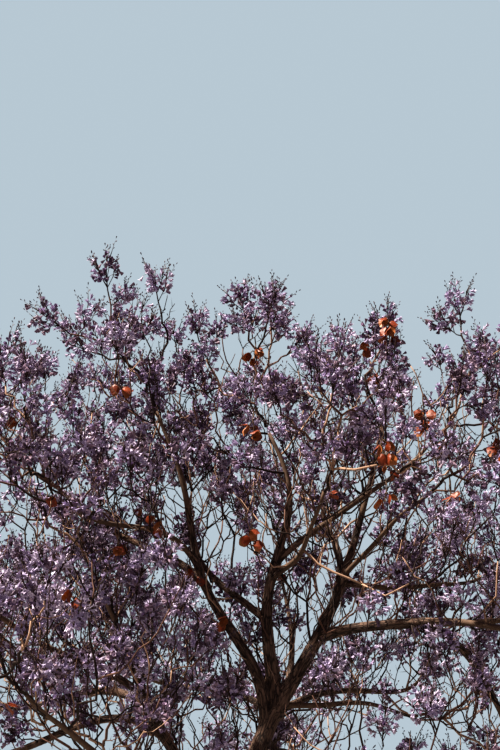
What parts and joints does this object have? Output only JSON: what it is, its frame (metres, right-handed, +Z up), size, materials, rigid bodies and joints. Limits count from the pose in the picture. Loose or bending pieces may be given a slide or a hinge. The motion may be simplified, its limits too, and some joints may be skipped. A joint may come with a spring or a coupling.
{
  "type": "jacaranda tree",
  "caption": "Leafless jacaranda tree in full blossom: short trunk with a root flare, sinuous upswept limbs, and an open round crown of lilac-purple panicles with last year's flat pods",
  "frame": {"origin": "middle of the trunk's flat cut at ground level", "axes": "+Z up along the trunk, +X to the right and +Y away from the viewer in the front view"},
  "size_m": [5.0983, 4.8894, 5.925],
  "materials": {
    "bark": "rough",
    "blossom": "matte"
  },
  "bodies": {
    "root": {"trunk": "bark", "stem_back": "bark", "stem_left": "bark", "stem_low_left": "bark", "stem_right": "bark", "back_left": "bark", "back_low": "bark", "back_right": "bark", "far_left": "bark", "far_left_front": "bark", "far_right_front": "bark", "front_left_low": "bark", "front_right_low": "bark", "front_top": "bark", "left_back": "bark", "left_front": "bark", "left_leader": "bark", "left_low": "bark", "left_top": "bark", "right_back": "bark", "right_front": "bark", "right_low": "bark", "right_mid": "bark", "right_out": "bark", "right_top": "bark", "top_back_left": "bark", "top_back_right": "bark", "blossom_back": "blossom", "blossom_back_left": "blossom", "blossom_back_low": "blossom", "blossom_back_right": "blossom", "blossom_far_left": "blossom", "blossom_far_left_front": "blossom", "blossom_far_right_front": "blossom", "blossom_front_left_low": "blossom", "blossom_front_right_low": "blossom", "blossom_front_top": "blossom", "blossom_left": "blossom", "blossom_left_back": "blossom", "blossom_left_front": "blossom", "blossom_left_leader": "blossom", "blossom_left_low": "blossom", "blossom_left_top": "blossom", "blossom_low_left": "blossom", "blossom_right": "blossom", "blossom_right_back": "blossom", "blossom_right_front": "blossom", "blossom_right_low": "blossom", "blossom_right_mid": "blossom", "blossom_right_out": "blossom", "blossom_right_top": "blossom", "blossom_top_back_left": "blossom", "blossom_top_back_right": "blossom"}
  },
  "joints": []
}
